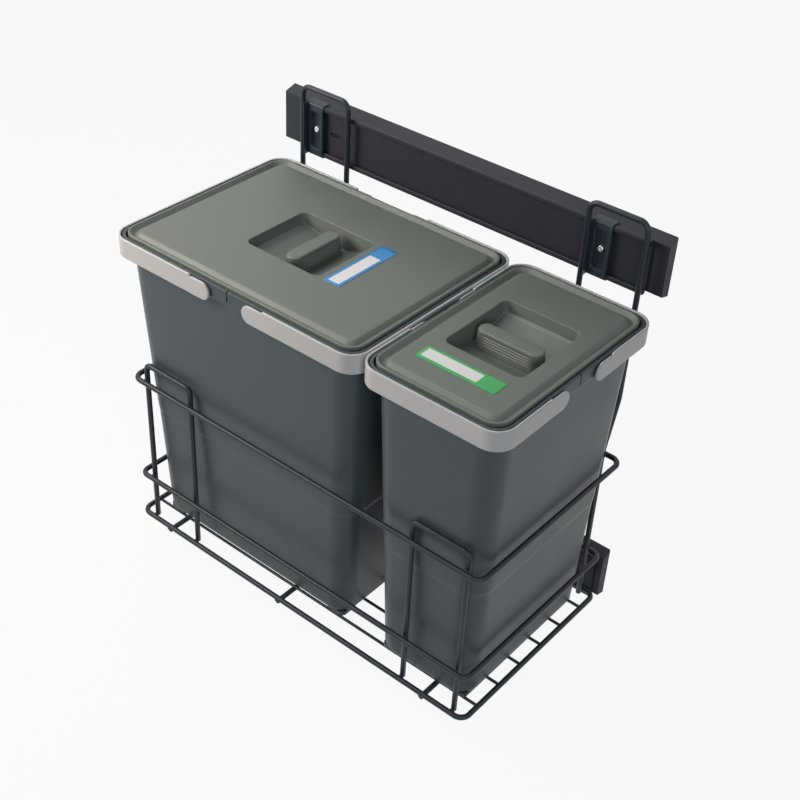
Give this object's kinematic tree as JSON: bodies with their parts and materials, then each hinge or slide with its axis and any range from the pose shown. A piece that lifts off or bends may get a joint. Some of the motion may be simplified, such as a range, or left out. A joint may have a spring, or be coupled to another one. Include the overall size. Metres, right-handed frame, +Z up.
{
  "type": "pull out bin frame",
  "caption": "Side-mounted pull-out frame for a base cabinet: telescopic ball slides carry a welded wire basket with lidded waste bins and folding carrying bails.",
  "frame": {"origin": "centre of the upper wall rail's screw pattern, on the face that lies on the cabinet wall", "axes": "+X the pull-out direction along the slides, +Y into the cabinet wall, +Z up; closed, bails folded down"},
  "size_m": [0.518, 0.2865, 0.4935],
  "materials": {
    "steel_black": "satin black-violet stove enamel on pressed steel",
    "steel_inner": "zinc-plated steel slide members",
    "wire_coat": "blue-black epoxy powder coat on steel wire",
    "bracket_black": "blue-black enamel on pressed steel",
    "screw_zinc": "bright zinc-plated screws",
    "ball_steel": "polished bearing balls",
    "cage_plastic": "natural acetal ball cages",
    "buffer_rubber": "black rubber buffers",
    "bin_plastic": "dark slate grey injection-moulded polypropylene",
    "lid_plastic": "grey injection-moulded polypropylene, satin",
    "bail_plastic": "light grey injection-moulded polypropylene",
    "label_blue": "printed film, plain blue border",
    "label_green": "printed film, plain green border"
  },
  "bodies": {
    "root": {"upper_wall_rail": "steel_inner", "upper_closing_buffer": "buffer_rubber", "lower_wall_rail": "steel_inner", "lower_closing_buffer": "buffer_rubber"},
    "carriage": {"upper_slider": "steel_inner", "upper_channel": "steel_black", "upper_left_bracket": "bracket_black", "upper_right_bracket": "bracket_black", "upper_bracket_screws": "screw_zinc", "lower_slider": "steel_inner", "lower_channel": "steel_black", "lower_left_bracket": "bracket_black", "lower_right_bracket": "bracket_black", "lower_bracket_screws": "screw_zinc", "bottom_ring": "wire_coat", "middle_ring": "wire_coat", "top_ring": "wire_coat", "left_front_hoop": "wire_coat", "right_front_hoop": "wire_coat", "left_rear_hook": "wire_coat", "right_rear_hook": "wire_coat", "cross_wires": "wire_coat", "floor_wires": "wire_coat"},
    "upper_middle": {"upper_slide_cover": "steel_black", "upper_raceways": "steel_inner"},
    "upper_wall_side_cage": {"upper_wall_side_cage": "cage_plastic", "upper_wall_side_balls": "ball_steel"},
    "upper_basket_side_cage": {"upper_basket_side_cage": "cage_plastic", "upper_basket_side_balls": "ball_steel"},
    "lower_middle": {"lower_slide_cover": "steel_black", "lower_raceways": "steel_inner"},
    "lower_wall_side_cage": {"lower_wall_side_cage": "cage_plastic", "lower_wall_side_balls": "ball_steel"},
    "lower_basket_side_cage": {"lower_basket_side_cage": "cage_plastic", "lower_basket_side_balls": "ball_steel"},
    "large_bin": {"large_bin": "bin_plastic"},
    "large_lid": {"large_lid": "lid_plastic", "large_lid_label": "label_blue"},
    "large_label_end_bail": {"large_label_end_bail": "bail_plastic"},
    "large_plain_end_bail": {"large_plain_end_bail": "bail_plastic"},
    "small_bin": {"small_bin": "bin_plastic"},
    "small_lid": {"small_lid": "lid_plastic", "small_lid_label": "label_green"},
    "small_label_end_bail": {"small_label_end_bail": "bail_plastic"},
    "small_plain_end_bail": {"small_plain_end_bail": "bail_plastic"}
  },
  "joints": [
    {"name": "pull_out", "type": "slide", "parent": "root", "child": "carriage", "axis": [1, 0, 0], "range_m": [0, 0.44]},
    {"name": "upper_middle_slide", "type": "slide", "parent": "root", "child": "upper_middle", "axis": [1, 0, 0], "range_m": [0, 0.22]},
    {"name": "upper_wall_side_cage_slide", "type": "slide", "parent": "root", "child": "upper_wall_side_cage", "axis": [1, 0, 0], "range_m": [0, 0.11]},
    {"name": "upper_basket_side_cage_slide", "type": "slide", "parent": "upper_middle", "child": "upper_basket_side_cage", "axis": [1, 0, 0], "range_m": [0, 0.11]},
    {"name": "lower_middle_slide", "type": "slide", "parent": "root", "child": "lower_middle", "axis": [1, 0, 0], "range_m": [0, 0.22]},
    {"name": "lower_wall_side_cage_slide", "type": "slide", "parent": "root", "child": "lower_wall_side_cage", "axis": [1, 0, 0], "range_m": [0, 0.11]},
    {"name": "lower_basket_side_cage_slide", "type": "slide", "parent": "lower_middle", "child": "lower_basket_side_cage", "axis": [1, 0, 0], "range_m": [0, 0.11]},
    {"name": "large_bin_lift", "type": "slide", "parent": "carriage", "child": "large_bin", "axis": [0, 0, 1], "range_m": [0, 0.4]},
    {"name": "large_lid_lift", "type": "slide", "parent": "large_bin", "child": "large_lid", "axis": [0, 0, 1], "range_m": [0, 0.06]},
    {"name": "small_bin_lift", "type": "slide", "parent": "carriage", "child": "small_bin", "axis": [0, 0, 1], "range_m": [0, 0.4]},
    {"name": "small_lid_lift", "type": "slide", "parent": "small_bin", "child": "small_lid", "axis": [0, 0, 1], "range_m": [0, 0.06]},
    {"name": "large_label_end_bail_pivot", "type": "hinge", "parent": "large_bin", "child": "large_label_end_bail", "pos_m": [-0.04275, -0.1595, -0.0539], "axis": [0, -1, 0], "range_deg": [0, 90]},
    {"name": "large_plain_end_bail_pivot", "type": "hinge", "parent": "large_bin", "child": "large_plain_end_bail", "pos_m": [-0.10775, -0.1595, -0.0539], "axis": [0, 1, 0], "range_deg": [0, 90]},
    {"name": "small_label_end_bail_pivot", "type": "hinge", "parent": "small_bin", "child": "small_label_end_bail", "pos_m": [0.176, -0.192, -0.0539], "axis": [-1, 0, 0], "range_deg": [0, 90]},
    {"name": "small_plain_end_bail_pivot", "type": "hinge", "parent": "small_bin", "child": "small_plain_end_bail", "pos_m": [0.176, -0.127, -0.0539], "axis": [1, 0, 0], "range_deg": [0, 90]}
  ],
  "couplings": [
    {"joint": "upper_middle_slide", "follows": "pull_out", "ratio": 0.5},
    {"joint": "upper_wall_side_cage_slide", "follows": "pull_out", "ratio": 0.25},
    {"joint": "upper_basket_side_cage_slide", "follows": "pull_out", "ratio": 0.25},
    {"joint": "lower_middle_slide", "follows": "pull_out", "ratio": 0.5},
    {"joint": "lower_wall_side_cage_slide", "follows": "pull_out", "ratio": 0.25},
    {"joint": "lower_basket_side_cage_slide", "follows": "pull_out", "ratio": 0.25}
  ]
}
